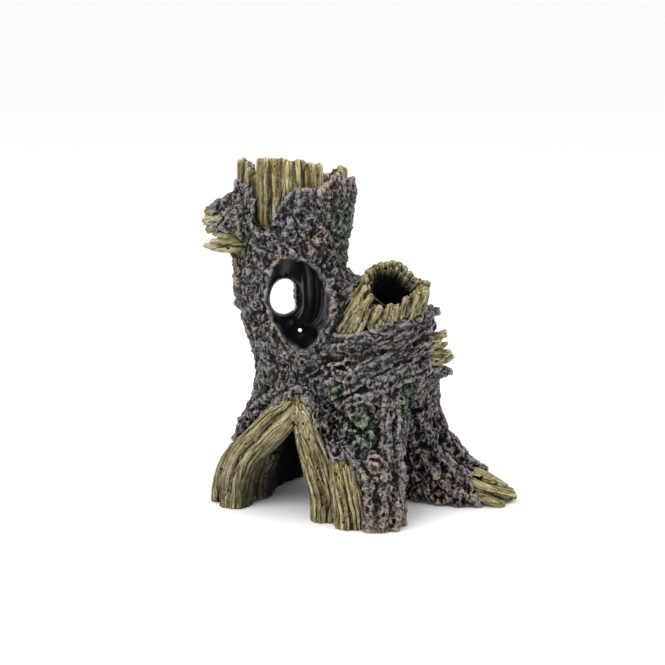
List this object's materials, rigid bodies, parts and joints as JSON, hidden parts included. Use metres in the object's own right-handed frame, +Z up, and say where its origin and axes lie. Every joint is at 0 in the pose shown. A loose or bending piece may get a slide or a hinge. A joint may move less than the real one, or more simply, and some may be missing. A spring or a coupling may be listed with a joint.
{
  "type": "hollow tree stump ornament",
  "caption": "Hollow tree stump ornament: broken bole on spreading roots, with windows, a cave under the roots and an open side branch.",
  "frame": {"origin": "middle of the box's base, on the ground", "axes": "+Z up the bole; the front, with the large window, the root arch and the side branch, faces -Y; +X to the right as seen from the front"},
  "size_m": [0.1802, 0.1158, 0.2045],
  "materials": {
    "bark": "matte, dry-brushed rough bark",
    "bare_wood": "matte, olive-yellow grain with dark grooves",
    "hollow": "smooth, near black, slightly glossy"
  },
  "bodies": {
    "root": {"stump": "bark"}
  },
  "joints": []
}
